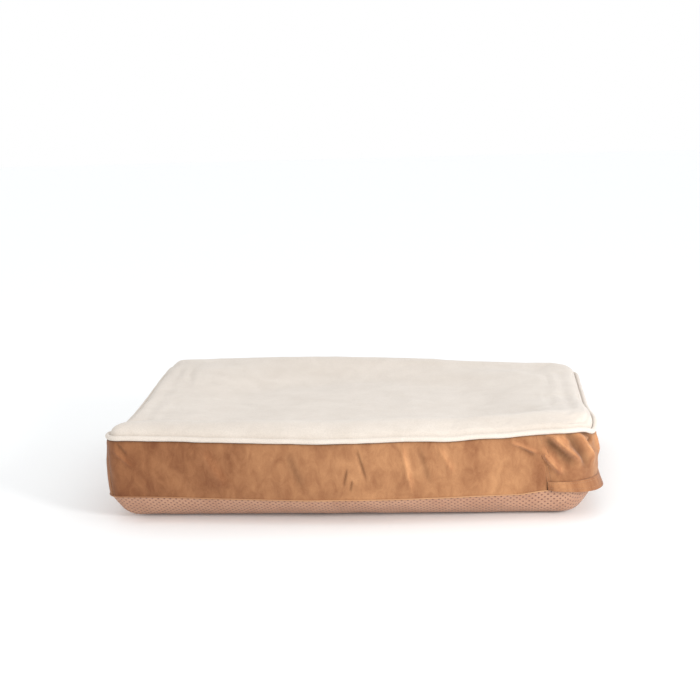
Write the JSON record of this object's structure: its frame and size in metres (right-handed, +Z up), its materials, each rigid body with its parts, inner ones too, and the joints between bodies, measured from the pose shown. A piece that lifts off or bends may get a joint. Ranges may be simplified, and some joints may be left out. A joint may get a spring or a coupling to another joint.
{
  "type": "pet cushion bed",
  "caption": "Low rectangular pet cushion bed with a cream plush top, matching piping, suede side walls, a hidden corner zip and a dotted non-slip base.",
  "frame": {"origin": "middle of the flat area of the underside that rests on the floor", "axes": "+X to the right along the length, -Y out of the front wall, +Z up"},
  "size_m": [0.8168, 0.6162, 0.166],
  "materials": {
    "plush": "short cream plush",
    "cord": "twisted cotton filler",
    "suede": "caramel faux suede, short nap",
    "grip": "woven base cloth with small grip dots",
    "label": "blank satin ribbon",
    "tape": "woven zip tape",
    "coil": "dyed monofilament",
    "stop": "pressed clip",
    "slider": "painted die casting",
    "pull": "painted die casting",
    "flap": "caramel faux suede, folded double",
    "liner": "plain white liner cloth",
    "base_foam": "open cell foam, see the stated mass",
    "memory_foam": "open cell memory foam, see the stated mass",
    "fibre": "lofted polyester fibre"
  },
  "bodies": {
    "cover": {"cover_top": "plush", "piping_cover": "plush", "piping_cord": "cord", "gusset_front": "suede", "gusset_back": "suede", "gusset_left": "suede", "gusset_zip_side": "suede", "cover_bottom": "grip", "care_label": "label", "zip_tape_upper": "tape", "zip_tape_lower": "tape", "zip_coil_upper": "coil", "zip_coil_lower": "coil", "zip_stop_front": "stop", "zip_stop_rear": "stop", "zip_flap_corner": "flap", "liner_lower": "liner", "liner_upper": "liner", "base_foam": "base_foam", "memory_foam": "memory_foam", "fibre_topper": "fibre"},
    "zip_flap": {"zip_flap_side": "flap"},
    "zip_slider": {"zip_slider": "slider"},
    "zip_pull": {"zip_pull": "pull"}
  },
  "joints": [
    {"name": "flap_lift", "type": "hinge", "parent": "cover", "child": "zip_flap", "pos_m": [0.40554, 0, 0.066], "axis": [0, -1, 0], "range_deg": [0, 140]},
    {"name": "zip_slide", "type": "slide", "parent": "cover", "child": "zip_slider", "axis": [0, -1, 0], "range_m": [0, 0.42]},
    {"name": "pull_swing", "type": "hinge", "parent": "zip_slider", "child": "zip_pull", "pos_m": [0.39426, 0.21, 0.04324], "axis": [0.7071, 0, 0.7071], "range_deg": [-80, 80]}
  ]
}
